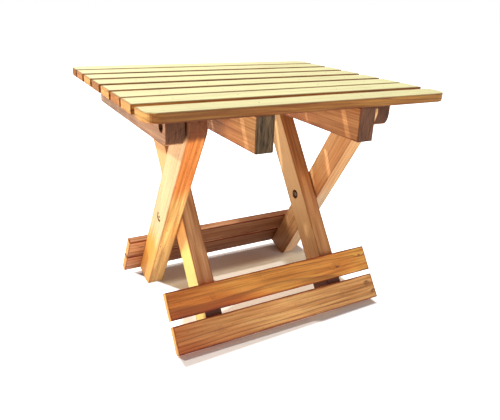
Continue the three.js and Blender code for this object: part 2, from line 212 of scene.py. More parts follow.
def grain_group():
    """The look of planed softwood, in millimetres of a plank's own frame: X along the grain, Y its width."""
    group = bpy.data.node_groups.get("Softwood grain")
    if group:
        return group
    group = bpy.data.node_groups.new("Softwood grain", "ShaderNodeTree")
    add = partial(add_node, group)
    for name, kind, value in (
        ("Point", "Vector", (0, 0, 0)),
        ("Along", "Vector", (1, 0, 0)),
        ("Half size", "Vector", (160, 20, 11.5)),
        ("Pith", "Vector", (0, 4, -45)),
        ("Taper", "Float", 0.03),
        ("Seed", "Vector", (0, 0, 0)),
        ("Knot one", "Vector", (FAR, 0, 0)),
        ("Knot one size", "Float", 2),
        ("Knot two", "Vector", (FAR, 0, 0)),
        ("Knot two size", "Float", 2),
        ("Ring spacing", "Float", 5),
        ("Ring strength", "Float", 0.7),
        ("Fibre spacing", "Float", 3),
        ("Contrast", "Float", 1),
        ("Waviness", "Float", 9),
        ("Light", "Color", (1, 1, 1, 1)),
        ("Dark", "Color", (0, 0, 0, 1)),
        ("End", "Color", (0.5, 0.3, 0.1, 1)),
        ("Knot", "Color", (0.1, 0.05, 0.02, 1)),
        ("Bleached", "Color", (1, 1, 1, 1)),
        ("Warmth", "Float", 0.4),
        ("Warm slope", "Float", 0),
        ("Warm start", "Float", 0),
        ("Bleaching", "Float", 0),
        ("Bleach start", "Float", -2 * FAR),
        ("Bleach full", "Float", -FAR),
        ("Sun side", "Vector", (0, 0, 1)),
        ("Saw marks", "Float", 0.2),
        ("Grime", "Float", 0.5),
        ("Specks", "Float", 0.6),
        ("Stain one", "Float", 0),
        ("Stain one colour", "Color", (0.1, 0.05, 0.02, 1)),
        ("Stain one side", "Vector", (0, 0, 0)),
        ("Stain one start", "Float", 0),
        ("Stain one full", "Float", 1),
        ("Stain two", "Float", 0),
        ("Stain two colour", "Color", (0.1, 0.05, 0.02, 1)),
        ("Stain two side", "Vector", (0, 0, 0)),
        ("Stain two start", "Float", 0),
        ("Stain two full", "Float", 1),
        ("Roughness", "Float", 0.5),
    ):
        socket = group.interface.new_socket(name, in_out="INPUT", socket_type="NodeSocket" + kind)
        socket.default_value = value
    for name, kind in (("Colour", "Color"), ("Roughness", "Float"), ("Height", "Float")):
        group.interface.new_socket(name, in_out="OUTPUT", socket_type="NodeSocket" + kind)
    given = add("NodeGroupInput").outputs

    # Noises, most of them stretched along the grain: how long, wide and deep one blotch is in millimetres,
    # its detail, and an offset that sets it apart. Specks are drawn coarser than real ones, so that they show
    noises = {}
    for name, size, detail, offset in (
        ("wander", (230, 80, 80), 1, (0, 0, 0)),
        ("ripple", (120, 9, 9), 2, (31, 7, 3)),
        ("tone", (120, 22, 22), 2, (5, 17, 40)),
        ("speck", (3.6, 2.4, 2.4), 2, (60, 3, 21)),
        ("saw", (30, 17, 2.2), 3, (9, 9, 9)),
        ("worn", (26, 9, 9), 2, (2, 71, 8)),
    ):
        scaled = add(
            "ShaderNodeVectorMath", {0: given["Point"], 1: tuple(1 / s for s in size), 2: offset},
            operation="MULTIPLY_ADD",
        )
        moved = add("ShaderNodeVectorMath", {0: scaled.outputs[0], 1: given["Seed"]}, operation="ADD")
        noises[name] = add(
            "ShaderNodeTexNoise", {"Vector": moved.outputs[0], "Scale": 1, "Detail": detail}
        ).outputs

    # The rings wander slowly along the plank and widen with the trunk's taper, which draws the arches. A
    # noise uses about a third of its range, so it is tripled. The ripple is up to 2.2 mm deep
    centred = add(
        "ShaderNodeVectorMath", {0: noises["wander"]["Color"], 1: (0.5, 0.5, 0.5)}, operation="SUBTRACT"
    )
    spread = add("ShaderNodeMath", {0: given["Waviness"], 1: 3.0}, operation="MULTIPLY")
    wander = add(
        "ShaderNodeVectorMath", {0: centred.outputs[0], "Scale": spread.outputs[0]}, operation="SCALE"
    )
    from_pith = add("ShaderNodeVectorMath", {0: given["Point"], 1: given["Pith"]}, operation="SUBTRACT")
    bent = add("ShaderNodeVectorMath", {0: from_pith.outputs[0], 1: wander.outputs[0]}, operation="ADD")
    across = add("ShaderNodeVectorMath", {0: bent.outputs[0], 1: (0, 1, 1)}, operation="MULTIPLY")
    radius = add("ShaderNodeVectorMath", {0: across.outputs[0]}, operation="LENGTH").outputs["Value"]
    place = add("ShaderNodeSeparateXYZ", {0: given["Point"]})
    tapered = add(
        "ShaderNodeMath", {0: place.outputs[0], 1: given["Taper"], 2: radius}, operation="MULTIPLY_ADD"
    )
    radius = add(
        "ShaderNodeMath", {0: noises["ripple"][0], 1: 2.2, 2: tapered.outputs[0]}, operation="MULTIPLY_ADD"
    ).outputs[0]

    # A knot is twice as long as it is wide. It pushes the rings aside, as far out as 4.5 times its size, and
    # has a dark heart
    hearts = []
    for name in ("Knot one", "Knot two"):
        size = given[name + " size"]
        away = add("ShaderNodeVectorMath", {0: given["Point"], 1: given[name]}, operation="SUBTRACT")
        flat = add("ShaderNodeVectorMath", {0: away.outputs[0], 1: (0.5, 1, 0)}, operation="MULTIPLY")
        length = add("ShaderNodeVectorMath", {0: flat.outputs[0]}, operation="LENGTH")
        share = add("ShaderNodeMath", {0: length.outputs["Value"], 1: size}, operation="DIVIDE")
        push = add(
            "ShaderNodeMapRange",
            {"Value": share.outputs[0], "From Min": 4.5, "From Max": 0.0, "To Max": 2.0},
            interpolation_type="SMOOTHSTEP",
        )
        radius = add(
            "ShaderNodeMath", {0: push.outputs[0], 1: size, 2: radius}, operation="MULTIPLY_ADD"
        ).outputs[0]
        heart = add(
            "ShaderNodeMapRange",
            {"Value": share.outputs[0], "From Min": 1.3, "From Max": 0.3, "To Max": 0.75},
            interpolation_type="SMOOTHSTEP",
        )
        hearts.append(heart.outputs[0])

    # Latewood darkens slowly over the outer half of a ring and ends sharply, and some years have more of it
    rings = add("ShaderNodeMath", {0: radius, 1: given["Ring spacing"]}, operation="DIVIDE")
    phase = add("ShaderNodeMath", {0: rings.outputs[0]}, operation="FRACT")
    year = add("ShaderNodeMath", {0: rings.outputs[0]}, operation="FLOOR")
    rise = add(
        "ShaderNodeMapRange",
        {"Value": phase.outputs[0], "From Min": 0.5, "From Max": 0.88}, interpolation_type="SMOOTHSTEP",
    )
    fall = add(
        "ShaderNodeMapRange",
        {"Value": phase.outputs[0], "From Min": 1.0, "From Max": 0.9}, interpolation_type="SMOOTHSTEP",
    )
    late = add("ShaderNodeMath", {0: rise.outputs[0], 1: fall.outputs[0]}, operation="MULTIPLY")
    growth = add("ShaderNodeTexWhiteNoise", {"W": year.outputs[0]}, noise_dimensions="1D")
    vigour = add("ShaderNodeMapRange", {"Value": growth.outputs["Value"], "To Min": 0.05})
    late = add("ShaderNodeMath", {0: late.outputs[0], 1: vigour.outputs[0]}, operation="MULTIPLY")
    late = add("ShaderNodeMath", {0: late.outputs[0], 1: given["Ring strength"]}, operation="MULTIPLY")

    # Bundles of fibres, 2 to 3 mm wide and about 80 mm long. Real fibres are too fine to show in the render,
    # so they are drawn as coarse as this. The tone changes slowly too
    thin = add("ShaderNodeMath", {0: 1.0, 1: given["Fibre spacing"]}, operation="DIVIDE")
    fine = add("ShaderNodeCombineXYZ", {0: 0.012, 1: thin.outputs[0], 2: thin.outputs[0]})
    fibre_point = add("ShaderNodeVectorMath", {0: given["Point"], 1: fine.outputs[0]}, operation="MULTIPLY")
    fibre = add("ShaderNodeTexNoise", {"Vector": fibre_point.outputs[0], "Scale": 1, "Detail": 3})
    streak = add("ShaderNodeMapRange", {"Value": fibre.outputs[0], **SWING, "To Min": 0.72, "To Max": 1.2})
    shade = add("ShaderNodeMapRange", {"Value": noises["tone"][0], **SWING, "To Min": 0.84, "To Max": 1.12})
    varied = add("ShaderNodeMath", {0: streak.outputs[0], 1: shade.outputs[0]}, operation="MULTIPLY")
    varied = add("ShaderNodeMath", {0: varied.outputs[0], 1: 1.0}, operation="SUBTRACT")
    varied = add(
        "ShaderNodeMath", {0: varied.outputs[0], 1: given["Contrast"], 2: 1.0}, operation="MULTIPLY_ADD"
    )
    body = add("ShaderNodeMix", {0: late.outputs[0], 6: given["Light"], 7: given["Dark"]}, data_type="RGBA")
    # Pale streaks are paler than the colour that is given, and dark ones redder
    dark = add("ShaderNodeMapRange", {"Value": varied.outputs[0], "From Min": 1.25, "From Max": 0.6})
    raised = add("ShaderNodeVectorMath", {0: body.outputs[2], 1: PALE_STREAK}, operation="MULTIPLY")
    body = add(
        "ShaderNodeMix", {0: dark.outputs[0], 6: raised.outputs[0], 7: DARK_STREAK},
        data_type="RGBA", blend_type="MULTIPLY", clamp_result=True,
    )
    # Resin warms the colour in long patches, and more towards one end. On the outer left leg the slope is
    # painted shade, darker towards the top under the seat
    resin_and_shade = add("ShaderNodeMath", {0: place.outputs[0], 1: given["Warm start"]}, operation="SUBTRACT")
    resin_and_shade = add(
        "ShaderNodeMath", {0: resin_and_shade.outputs[0], 1: given["Warm slope"], 2: noises["wander"][0]},
        operation="MULTIPLY_ADD",
    )
    resin_and_shade = add("ShaderNodeMapRange", {"Value": resin_and_shade.outputs[0], "From Min": 0.46, "From Max": 0.66})
    resin_and_shade = add("ShaderNodeMath", {0: resin_and_shade.outputs[0], 1: given["Warmth"]}, operation="MULTIPLY")
    body = add(
        "ShaderNodeMix", {0: resin_and_shade.outputs[0], 6: body.outputs[2], 7: RESIN_AND_SHADE},
        data_type="RGBA", blend_type="MULTIPLY",
    )

    # Faces on the sunny side are paled, partly as sun-bleaching and partly as painted light, and their
    # streaks are fainter
    turned = add("ShaderNodeTexCoord").outputs["Normal"]
    sunny = add("ShaderNodeVectorMath", {0: turned, 1: given["Sun side"]}, operation="DOT_PRODUCT")
    sunny = add(
        "ShaderNodeMapRange",
        {"Value": sunny.outputs["Value"], "From Min": 0.4, "From Max": 0.9}, interpolation_type="SMOOTHSTEP",
    )
    reached = add(
        "ShaderNodeMapRange",
        {"Value": place.outputs[0], "From Min": given["Bleach start"], "From Max": given["Bleach full"]},
        interpolation_type="SMOOTHSTEP",
    )
    sunny = add("ShaderNodeMath", {0: sunny.outputs[0], 1: reached.outputs[0]}, operation="MULTIPLY")
    pale_and_lit_amount = add("ShaderNodeMath", {0: sunny.outputs[0], 1: given["Bleaching"]}, operation="MULTIPLY")
    fainter = add("ShaderNodeMath", {0: dark.outputs[0], 1: 0.55, 2: -0.24}, operation="MULTIPLY_ADD")
    pale = add(
        "ShaderNodeMix", {0: fainter.outputs[0], 6: given["Bleached"], 7: DARK_STREAK},
        data_type="RGBA", blend_type="MULTIPLY",
    )
    colour = add(
        "ShaderNodeMix", {0: pale_and_lit_amount.outputs[0], 6: body.outputs[2], 7: pale.outputs[2]}, data_type="RGBA"
    )

    # Sawn ends, which face along the grain, show pores and the marks of the saw, in a colour of their own
    end = add("ShaderNodeVectorMath", {0: turned, 1: given["Along"]}, operation="DOT_PRODUCT")
    end = add("ShaderNodeMath", {0: end.outputs["Value"]}, operation="ABSOLUTE")
    end = add(
        "ShaderNodeMapRange",
        {"Value": end.outputs[0], "From Min": 0.62, "From Max": 0.74}, interpolation_type="SMOOTHSTEP",
    )
    marks = add("ShaderNodeMapRange", {"Value": noises["saw"][0], **SWING, "To Min": -1.0, "To Max": 1.0})
    marked = add(
        "ShaderNodeMath", {0: marks.outputs[0], 1: given["Saw marks"], 2: 1.0}, operation="MULTIPLY_ADD"
    )
    pores = add(
        "ShaderNodeMath", {0: late.outputs[0], 1: -0.6, 2: marked.outputs[0]}, operation="MULTIPLY_ADD"
    )
    sawn = add("ShaderNodeVectorMath", {0: given["End"], "Scale": pores.outputs[0]}, operation="SCALE")
    colour = add(
        "ShaderNodeMix", {0: end.outputs[0], 6: colour.outputs[2], 7: sawn.outputs[0]}, data_type="RGBA"
    )
    heart = add("ShaderNodeMath", {0: hearts[0], 1: hearts[1]}, operation="MAXIMUM")
    colour = add(
        "ShaderNodeMix", {0: heart.outputs[0], 6: colour.outputs[2], 7: given["Knot"]}, data_type="RGBA"
    )

    # Arrises have drunk in dirt: how near a point is to one is the middle of its three distances to the faces
    sides = add("ShaderNodeVectorMath", {0: given["Point"]}, operation="ABSOLUTE")
    sides = add("ShaderNodeVectorMath", {0: given["Half size"], 1: sides.outputs[0]}, operation="SUBTRACT")
    sides = add("ShaderNodeSeparateXYZ", {0: sides.outputs[0]}).outputs
    least = add("ShaderNodeMath", {0: sides[1], 1: sides[2]}, operation="MINIMUM")
    most = add("ShaderNodeMath", {0: sides[1], 1: sides[2]}, operation="MAXIMUM")
    inner = add("ShaderNodeMath", {0: most.outputs[0], 1: sides[0]}, operation="MINIMUM")
    near = add("ShaderNodeMath", {0: least.outputs[0], 1: inner.outputs[0]}, operation="MAXIMUM")
    # The dirty line is drawn 1.2 to 3.4 mm wide, wider than the real one, so that it shows
    wide = add("ShaderNodeMapRange", {"Value": noises["worn"][0], **SWING, "To Min": 1.2, "To Max": 3.4})
    rim = add(
        "ShaderNodeMapRange", {"Value": near.outputs[0], "From Min": wide.outputs[0], "From Max": 0.9},
        interpolation_type="SMOOTHSTEP",
    )
    specks = add("ShaderNodeMapRange", {
        "Value": noises["speck"][0], "From Min": 0.65, "From Max": 0.76, "To Max": given["Specks"],
    })
    dirt = add("ShaderNodeMath", {0: rim.outputs[0], 1: specks.outputs[0]}, operation="MAXIMUM")
    dirt = add("ShaderNodeMath", {0: dirt.outputs[0], 1: given["Grime"]}, operation="MULTIPLY")
    # Sawn ends are outlined less
    cleaner = add("ShaderNodeMath", {0: end.outputs[0], 1: -0.65, 2: 1.0}, operation="MULTIPLY_ADD")
    dirt = add("ShaderNodeMath", {0: dirt.outputs[0], 1: cleaner.outputs[0]}, operation="MULTIPLY")

    # Two marks colour a side for part of its length. Most are painted shade, where another piece shades that
    # side; one is a painted highlight; the rest brown the front slat and boards towards one end and turn a
    # leg orange near its foot. A mark's edge wanders by a few millimetres
    uneven = add(
        "ShaderNodeMath", {0: noises["worn"][0], 1: 14.0, 2: place.outputs[0]}, operation="MULTIPLY_ADD"
    ).outputs[0]
    for name in ("Stain one", "Stain two"):
        facing = add("ShaderNodeVectorMath", {0: turned, 1: given[name + " side"]}, operation="DOT_PRODUCT")
        facing = add("ShaderNodeMapRange", {
            "Value": facing.outputs["Value"], "From Min": 0.6, "From Max": 0.8, "To Max": given[name],
        })
        inside = add(
            "ShaderNodeMapRange",
            {"Value": uneven, "From Min": given[name + " start"], "From Max": given[name + " full"]},
            interpolation_type="SMOOTHSTEP",
        )
        share = add("ShaderNodeMath", {0: inside.outputs[0], 1: facing.outputs[0]}, operation="MULTIPLY")
        colour = add(
            "ShaderNodeMix", {0: share.outputs[0], 6: colour.outputs[2], 7: given[name + " colour"]},
            data_type="RGBA",
        )
    colour = add(
        "ShaderNodeMix", {0: dirt.outputs[0], 6: colour.outputs[2], 7: DIRT},
        data_type="RGBA", blend_type="MULTIPLY",
    )

    # Sawn ends are rougher and latewood is glossier, and fibres, latewood and saw marks stand proud
    duller = add(
        "ShaderNodeMath", {0: end.outputs[0], 1: 0.25, 2: given["Roughness"]}, operation="MULTIPLY_ADD"
    )
    sheen = add(
        "ShaderNodeMath", {0: late.outputs[0], 1: -0.12, 2: duller.outputs[0]}, operation="MULTIPLY_ADD"
    )
    relief = add(
        "ShaderNodeMath", {0: late.outputs[0], 1: 0.6, 2: fibre.outputs[0]}, operation="MULTIPLY_ADD"
    )
    rough = add("ShaderNodeMath", {0: end.outputs[0], 1: noises["saw"][0]}, operation="MULTIPLY")
    relief = add(
        "ShaderNodeMath", {0: rough.outputs[0], 1: 1.5, 2: relief.outputs[0]}, operation="MULTIPLY_ADD"
    )
    add("NodeGroupOutput", {
        "Colour": colour.outputs[2], "Roughness": sheen.outputs[0], "Height": relief.outputs[0],
    })
    return group


def tinted(colour, tint):
    """A colour of one plank: no two have quite the same."""
    return (*[min(c * t, 1.0) for c, t in zip(colour, tint)], 1)


def pale_and_lit(share, colour, start=-2 * FAR, full=-FAR):
    """How a plank's sunny side is paled, partly as painted light: how much, to what colour, and between which
    places along it.
    """
    return {"Bleaching": share, "Bleached": (*linear(colour), 1), "Bleach_start": start, "Bleach_full": full}


def stain_and_painted_light(which, share, side, start, full, colour=None):
    """One of a plank's two marks of stain and painted light: how strong it is, on which side, and between
    which places it sets in.
    """
    name = f"Stain_{which}"
    stain_and_light_mark = {name: share, f"{name}_side": side, f"{name}_start": start, f"{name}_full": full}
    if colour:
        stain_and_light_mark[f"{name}_colour"] = (*colour, 1)
    return stain_and_light_mark


def plank_material(name, centre, along, width, half, look, tint=(1, 1, 1), **changes):
    """Planed pine for one plank: its grain runs along one direction, and its width along another.

    Planing leaves it smooth, and years of oil give it a soft satin shine with darker, glossier ring lines.
    """
    wood = bpy.context.scene.stool_wood
    along = Vector(along).normalized()
    width = Vector(width).normalized()
    depth = along.cross(width)
    turn = Matrix((along, width, depth)).transposed().to_euler("XYZ")
    material, tree = bare_material(name)
    point = add_node(tree, "ShaderNodeTexCoord").outputs["Object"]
    placed = add_node(
        tree, "ShaderNodeMapping",
        {"Vector": point, "Location": centre, "Rotation": turn, "Scale": (MM, MM, MM)}, vector_type="TEXTURE",
    )
    inputs = {
        "Point": placed.outputs[0],
        "Along": along,
        "Half size": half,
        "Ring spacing": wood.ring_spacing / MM,
        "Fibre spacing": wood.fibre_spacing / MM,
        "Waviness": wood.waviness / MM,
        "Light": tinted(getattr(wood, look + "_light"), tint),
        "Dark": tinted(getattr(wood, look + "_dark"), tint),
        "End": tinted(wood.end_grain, tint),
        "Knot": (*wood.knot, 1),
        "Stain one colour": (*wood.knot, 1),
        "Bleached": (*wood.bleached, 1),
        "Roughness": wood.roughness,
    }
    inputs.update({key.replace("_", " "): value for key, value in changes.items()})
    grain = add_node(tree, "ShaderNodeGroup", inputs, node_tree=grain_group())
    raised = add_node(
        tree, "ShaderNodeBump", {"Height": grain.outputs["Height"], "Strength": 0.35, "Distance": 0.3 * MM}
    )
    surface = add_node(tree, "ShaderNodeBsdfPrincipled", {
        "Base Color": grain.outputs["Colour"],
        "Roughness": grain.outputs["Roughness"],
        "Specular IOR Level": 0.25,
        "Normal": raised.outputs[0],
    })
    add_node(tree, "ShaderNodeOutputMaterial", {"Surface": surface.outputs[0]})
    return material


def dress(name, material):
    """Gives a CAD node its finished material."""
    slots = frame["nodes"][name].data.materials
    slots.clear()
    slots.append(material)


def middle(name):
    low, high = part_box(name)
    return (low + high) / 2


def half_size(name):
    """Half the size of a plank that lies square, in millimetres."""
    low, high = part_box(name)
    return (high - low) / 2 / MM


def leaning(degrees):
    """A pair of legs: where it is hinged, and the directions up its legs and into their front faces."""
    tilt = math.radians(degrees)
    place = Vector(JOINTS["legs_fold"]["pos_m"])
    up = Vector((0, -math.sin(tilt), math.cos(tilt)))
    back = Vector((0, math.cos(tilt), math.sin(tilt)))
    return place, up, back


OUTER = leaning(31)
INNER = leaning(-36)


# Pieces


class STOOL_OT_slats(bpy.types.Operator):
    """Finishes the seat slats in softwood, paled on top partly by the sun and partly as painted light"""

    bl_idname = "stool.slats"
    bl_label = "Seat Slats"

    def execute(self, context):
        wood = context.scene.stool_wood
        # Planed pine: straw yellow on top with faint streaks, partly paled by the sun and partly painted
        # light, and brown on its edges,
        # partly painted shade. Of each slat: where its pith lies, how far its top is paled and lit, and the
        # tint of its sawn ends
        planks = (
            ((6, -38), 0.80, (1.05, 1.12, 1.05)),
            ((-30, -22), 0.90, (1.10, 1.12, 1.05)),
            ((12, -55), 0.90, (0.78, 0.66, 0.62)),
            ((-8, 42), 0.88, (1.2, 1.3, 1.3)),
            ((40, -14), 0.86, (0.66, 0.56, 0.56)),
            ((-14, -60), 0.90, (1.2, 1.3, 1.3)),
            ((3, -34), 0.87, (0.84, 0.72, 0.7)),
            ((-22, 48), 0.86, (0.58, 0.44, 0.42)),
        )
        for number, (pith, pale_and_lit_share, end) in enumerate(planks, 1):
            name = f"slat_{number}"
            material = plank_material(
                f"sun_bleached_pine_{number}", middle(name), (1, 0, 0), (0, 1, 0), half_size(name), "slat",
                Pith=(0, *pith), Seed=(number * 7.3, number * 3.1, 11.0), Bleaching=pale_and_lit_share,
                End=tinted(wood.end_grain, end), Ring_strength=0.7, Grime=0.62, Contrast=1.5,
                # The front slat's front edge browns to the left
                **stain_and_painted_light("one", 0.5 if number == 1 else 0, (0, -1, 0), -20, -200),
            )
            dress(name, material)
        return {"FINISHED"}


class STOOL_OT_battens(bpy.types.Operator):
    """Finishes the battens under the slats in aged softwood with sawn ends"""

    bl_idname = "stool.battens"
    bl_label = "Battens"

    def execute(self, context):
        wood = context.scene.stool_wood
        # Planed pine, aged under the seat: red-brown, with close streaks and rough ends, one of them greyed.
        # Of each batten: its tint, and how light its ends are
        planks = {
            "outer_batten_left": ((0.57, 0.66, 0.82), 0.75),
            "outer_batten_right": ((0.78, 0.70, 0.66), 0.85),
            "inner_batten_left": ((0.84, 1.06, 1.2), 0.95),
            "inner_batten_right": ((0.78, 0.78, 0.74), 1.1),
        }
        for number, (name, (tint, end)) in enumerate(planks.items(), 1):
            weathered = name == "inner_batten_left"
            material = plank_material(
                f"aged_pine_{name}", middle(name), (0, 1, 0), (0, 0, 1), half_size(name).yzx, "batten", tint,
                Pith=(0, -70 + 9 * number, 34 + 11 * number), Seed=(number * 5.7, 19.0, number * 2.9),
                Ring_spacing=3.4, Ring_strength=0.6, Waviness=6.0, Contrast=1.05, Fibre_spacing=2.2,
                End=tinted(wood.weathered_end if weathered else wood.brown_end, [end] * 3),
                Saw_marks=0.85 if weathered else 0.35, Grime=0.85,
            )
            dress(name, material)
        return {"FINISHED"}


class STOOL_OT_legs(bpy.types.Operator):
    """Finishes the crossed legs in oiled softwood, with the grain along each leg"""

    bl_idname = "stool.legs"
    bl_label = "Legs"

    def execute(self, context):
        wood = context.scene.stool_wood
        # Planed pine, oiled: honey and orange with a satin shine, and long streaks up each leg.
        # Of each leg: its tint, its pith, and how its left and front faces are drawn paler and darker, mostly
        # as painted light and shade.
        # Places along a leg are in millimetres above the crossing
        planks = {
            # Painted highlight: the left face is paled from just below the crossing up. Painted shade: the
            # tops of the left and front faces, under the batten and seat. The left face turns orange towards
            # the foot
            "outer_leg_left": dict(
                tint=(1.1, 1.32, 1.85), Pith=(0, -64, -30), Warmth=0.85, Warm_slope=0.008, Warm_start=56,
                Specks=1.7, **pale_and_lit(0.8, "#E0CBA0", -60, -10),
                **stain_and_painted_light("one", 0.9, LEFT - OUTER[2], 167, 179),
                **stain_and_painted_light("two", 0.8, LEFT, -32, -60, wood.oil),
            ),
            # Painted light: the front face is paled from the crossing down. Painted shadow: the left face is
            # darkened near the foot
            "outer_leg_right": dict(
                tint=(1.14, 1.26, 2.05), Pith=(0, 30, -62), Contrast=0.85, Sun_side=-OUTER[2],
                **pale_and_lit(0.6, "#F6DCB8", 50, 0), **stain_and_painted_light("one", 0.62, LEFT, -66, -104),
            ),
            # Tinted darker, partly as painted shade under the seat. Painted light: the left face is paled,
            # with a painted highlight of pale yellow low down. Painted shade: the front face near the foot,
            # behind the boards
            "inner_leg_left": dict(
                tint=(0.63, 0.57, 0.88), Pith=(0, 8, -44), **pale_and_lit(0.85, "#F4C07C"),
                **stain_and_painted_light("one", 0.97, -INNER[2], -122, -130),
                **stain_and_painted_light("two", 0.9, LEFT, -34, -50, linear("#F5E286")),
            ),
            # Painted light: the left face is paled, most of all from the crossing up. Painted shade: the left
            # and front faces near the foot, behind the boards
            "inner_leg_right": dict(
                tint=(0.72, 0.6, 0.78), Pith=(0, 70, -22), Contrast=1.0, **pale_and_lit(0.95, "#FFD294", -190, 0),
                **stain_and_painted_light("one", 0.97, LEFT - INNER[2], -122, -130),
            ),
        }
        for number, (name, plank) in enumerate(planks.items(), 1):
            place, up, back = OUTER if name.startswith("outer") else INNER
            centre = Vector((middle(name).x, place.y, place.z))
            options = dict(
                Seed=(number * 9.1, 2.0, number * 4.3), Taper=0.02, Waviness=5.0, Ring_spacing=4.0,
                Ring_strength=0.5, Grime=0.6, Contrast=1.25, Warmth=0.3, Sun_side=LEFT,
                End=tinted(wood.brown_end, (1.5, 1.4, 1.2)),
            )
            options.update(plank)
            material = plank_material(f"oiled_pine_{name}", centre, up, back, LEG_HALF, "leg", **options)
            dress(name, material)
        return {"FINISHED"}


class STOOL_OT_boards(bpy.types.Operator):
    """Finishes the boards and their plugs in darker oiled softwood"""

    bl_idname = "stool.boards"
    bl_label = "Boards"

    def execute(self, context):
        wood = context.scene.stool_wood
        # Planed pine, oiled and weathered near the floor: deep orange-brown, streaked, with knots and dirt.
        # Of each board: its tint, its pith, how strong its rings are, and the places and sizes of its knots
        planks = {
            "front_board_upper": ((1.38, 1.46, 1.55), (-16, -30), 0.8, ((148, 6, 0), 1.6, (104, -3, 0), 1.9)),
            "front_board_lower": ((1.38, 1.72, 3.3), (24, -34), 0.65, ((147, 8, 0), 1.5, (156, -6, 0), 1.4)),
            "rear_board_upper": ((0.97, 1.3, 3.9), (-16, 36), 0.55, ((-140, 3, 0), 2.0)),
            "rear_board_lower": ((0.94, 1.2, 3.7), (12, -28), 0.55, ((-60, -6, 0), 2.2)),
        }
        for number, (name, (tint, pith, rings, knots)) in enumerate(planks.items(), 1):
            end, _, row = name.split("_")
            _, up, back = INNER if end == "front" else OUTER
            # The front boards have browned towards their left ends; the rear ones carry painted shade between
            # the legs, under the seat.
            # Places along a board are in millimetres to the right of its middle
            stain_and_light_mark, start, full, warmth, slope = (
                (0.36, 60, -150, 0.85, -0.0014) if end == "front" else (0.5, -128, -100, 0.2, 0.0)
            )
            options = dict(
                Pith=(0, *pith), Seed=(number * 6.1, number * 8.7, 4.0),
                Ring_spacing=3.4, Ring_strength=rings, Waviness=3.0, Taper=0.012, Grime=1.0, Contrast=1.5,
                Warmth=warmth, Warm_slope=slope, Dark=tinted(wood.board_dark, [t ** 0.5 for t in tint]),
                End=tinted(wood.end_grain, (1.7, 1.6, 1.4)), **stain_and_painted_light("one", stain_and_light_mark, -back, start, full),
            )
            options.update(zip(("Knot_one", "Knot_one_size", "Knot_two", "Knot_two_size"), knots))
            # The plugs were cut from the same board, and are a shade darker
            plugs = [f"{end}_plug_{row}_{side}" for side in SIDES]
            for finish, shade, pieces in ((name, 1.0, [name]), (f"{end}_plugs_{row}", 0.9, plugs)):
                material = plank_material(
                    f"dark_oiled_pine_{finish}", middle(name), (1, 0, 0), up, BOARD_HALF, "board",
                    [t * shade for t in tint], **options,
                )
                for piece in pieces:
                    dress(piece, material)
        return {"FINISHED"}


class STOOL_OT_dowels(bpy.types.Operator):
    """Finishes the stop dowels in bare turned softwood"""

    bl_idname = "stool.dowels"
    bl_label = "Stop Dowels"

    def execute(self, context):
        # Turned pine, left bare: pale honey, with straight lines along the dowel, which has no dirty edges
        for number, side in enumerate(SIDES):
            name = f"stop_dowel_{side}"
            material = plank_material(
                f"turned_pine_{name}", middle(name), (1, 0, 0), (0, 1, 0), (FAR, FAR, FAR), "leg",
                Pith=(0, 9, -14), Seed=(number * 3.7, 1.0, 2.0), Ring_spacing=3.0,
            )
            dress(name, material)
        return {"FINISHED"}


def plated_steel(name, colour, roughness):
    """Zinc-plated steel: a metal whose plating has dulled unevenly, so that its gloss comes and goes."""
    material, tree = bare_material(name)
    point = add_node(tree, "ShaderNodeTexCoord").outputs["Object"]
    # Blotches of about 1.5 mm, coarser than real spangle, so that they show
    blotch = add_node(tree, "ShaderNodeTexNoise", {"Vector": point, "Scale": 1 / (1.5 * MM), "Detail": 3})
    gloss = add_node(
        tree, "ShaderNodeMapRange",
        {"Value": blotch.outputs[0], "To Min": roughness - 0.12, "To Max": roughness + 0.2},
    )
    tint = add_node(
        tree, "ShaderNodeMix",
        {0: blotch.outputs[0], 6: (*[c * 0.72 for c in colour], 1), 7: (*colour, 1)}, data_type="RGBA",
    )
    raised = add_node(
        tree, "ShaderNodeBump", {"Height": blotch.outputs[0], "Strength": 0.2, "Distance": 0.1 * MM}
    )
    surface = add_node(tree, "ShaderNodeBsdfPrincipled", {
        "Base Color": tint.outputs[2], "Roughness": gloss.outputs[0], "Metallic": 1.0,
        "Normal": raised.outputs[0],
    })
    add_node(tree, "ShaderNodeOutputMaterial", {"Surface": surface.outputs[0]})
    return material


class STOOL_OT_hardware(bpy.types.Operator):
    """Finishes the bolts, nuts, washers and screws in dulled zinc"""

    bl_idname = "stool.hardware"
    bl_label = "Bolts and Screws"

    def execute(self, context):
        steel = context.scene.stool_steel
        zinc = plated_steel("zinc_plated_steel", tuple(steel.zinc), steel.roughness)
        rubbed = plated_steel("rubbed_zinc_plated_steel", tuple(steel.rubbed), steel.roughness)
        kinds = ("_bolt_", "_nut_", "_washer_", "_screw_")
        for name in frame["nodes"]:
            if any(kind in name for kind in kinds):
                # The head of the left leg bolt gets the paler copy of the zinc, a painted highlight
                dress(name, rubbed if name == "leg_bolt_left" else zinc)
        return {"FINISHED"}


